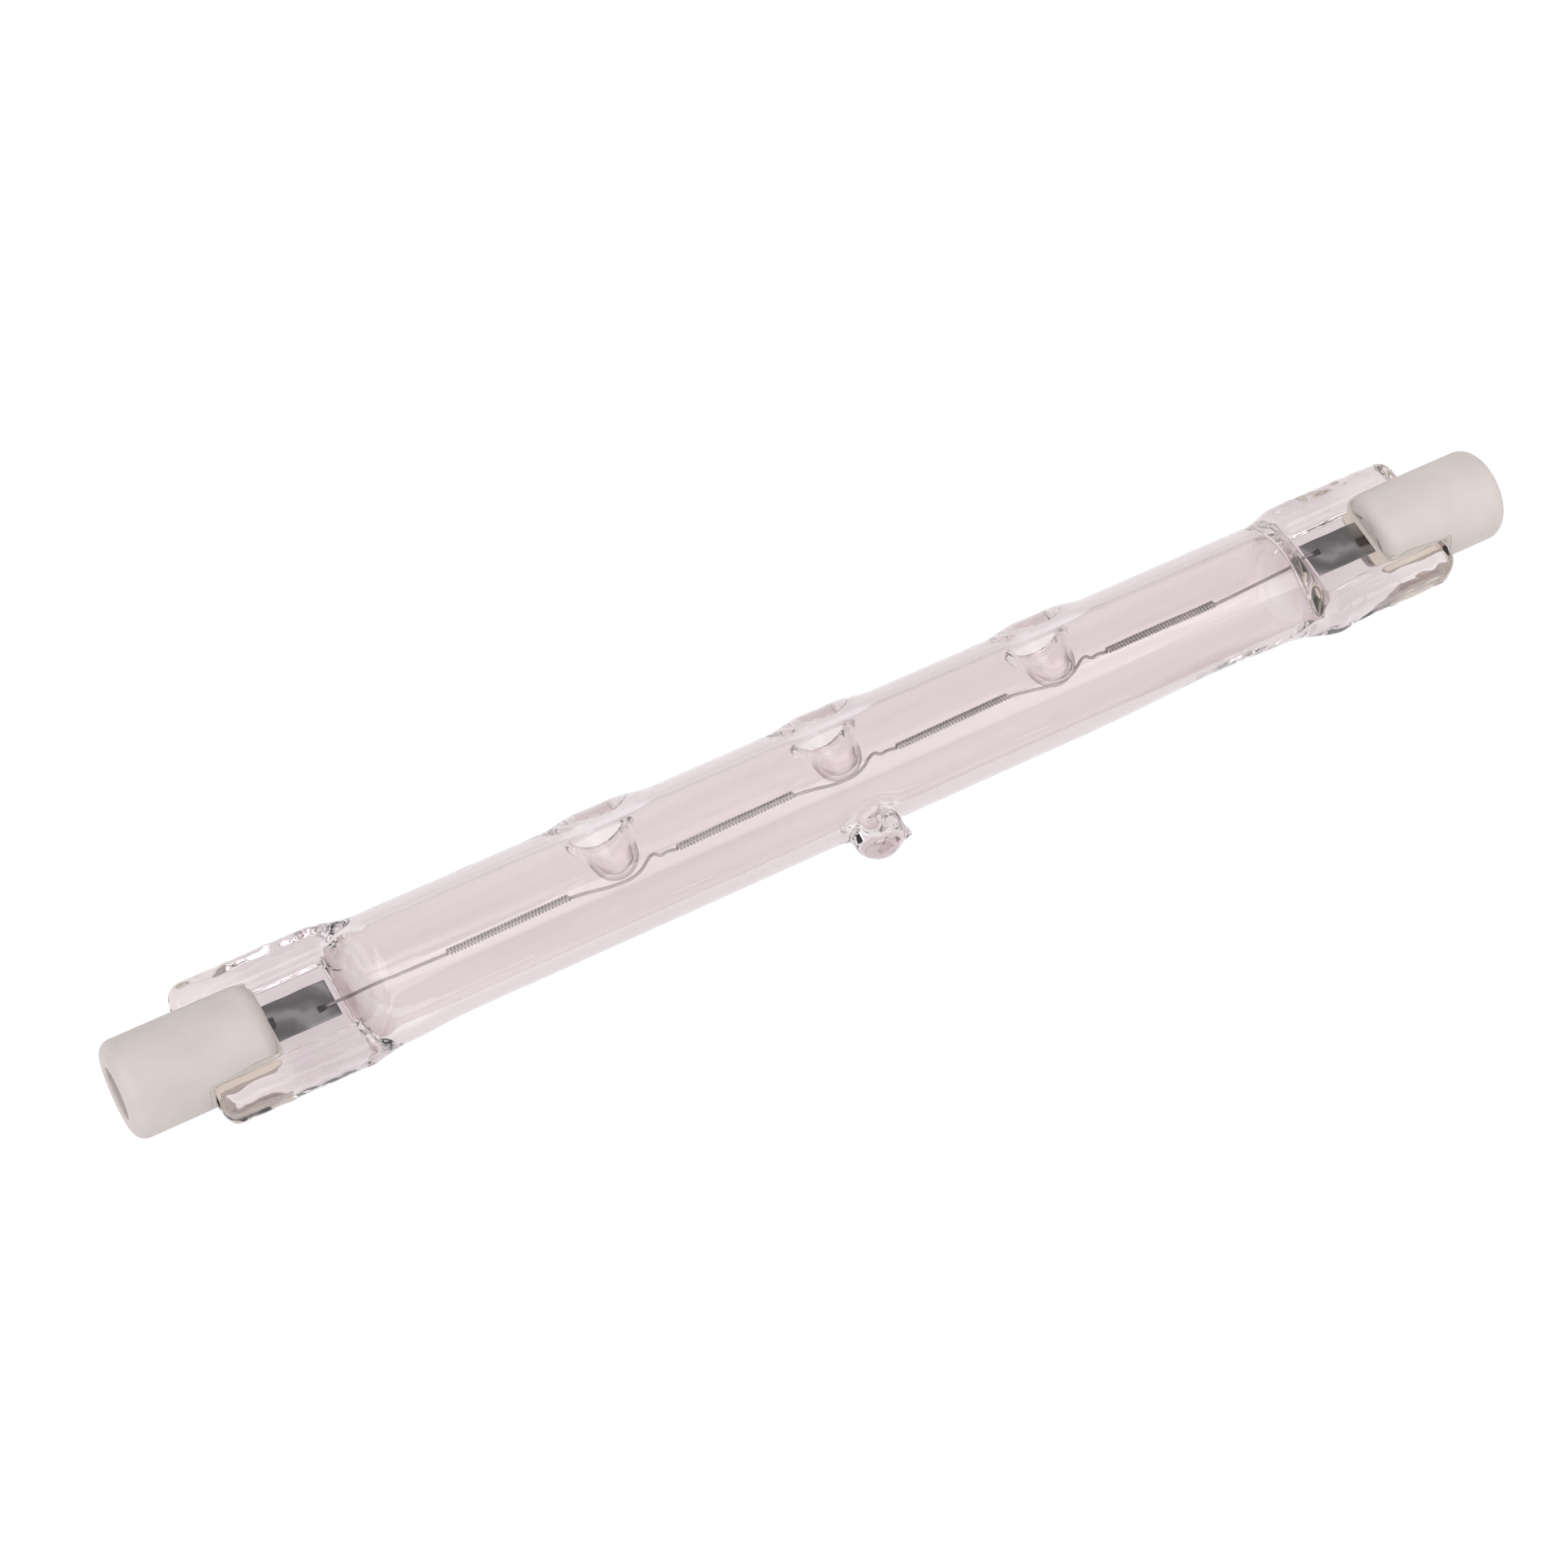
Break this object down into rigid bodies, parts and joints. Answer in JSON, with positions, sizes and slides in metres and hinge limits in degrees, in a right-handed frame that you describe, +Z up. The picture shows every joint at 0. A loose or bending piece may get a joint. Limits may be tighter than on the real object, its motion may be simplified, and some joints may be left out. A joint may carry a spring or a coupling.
{
  "type": "linear halogen bulb",
  "caption": "Double-ended linear halogen bulb: clear quartz tube with dimples, exhaust tip and pinch seals, coiled filament, and slotted ceramic caps with recessed contacts.",
  "frame": {"origin": "on the lamp's axis at mid-length, which is also its light centre", "axes": "+X along the lamp towards the right cap, +Z up as the lamp lies on its tube, with the exhaust tip low towards -Y"},
  "size_m": [0.118, 0.0122, 0.0098],
  "materials": {
    "quartz": "clear fused quartz",
    "tungsten": "drawn grey tungsten",
    "molybdenum": "etched foil",
    "lead_wire": "dark drawn wire",
    "ceramic": "matt steatite",
    "contact_metal": "nickel plated",
    "cement": "matt yellowish cement"
  },
  "bodies": {
    "root": {"quartz_envelope": "quartz", "filament": "tungsten", "moly_foil_left": "molybdenum", "moly_foil_right": "molybdenum", "outer_lead_left": "lead_wire", "outer_lead_right": "lead_wire", "ceramic_cap_left": "ceramic", "ceramic_cap_right": "ceramic", "contact_left": "contact_metal", "contact_right": "contact_metal", "cap_cement_left": "cement", "cap_cement_right": "cement"}
  },
  "joints": []
}
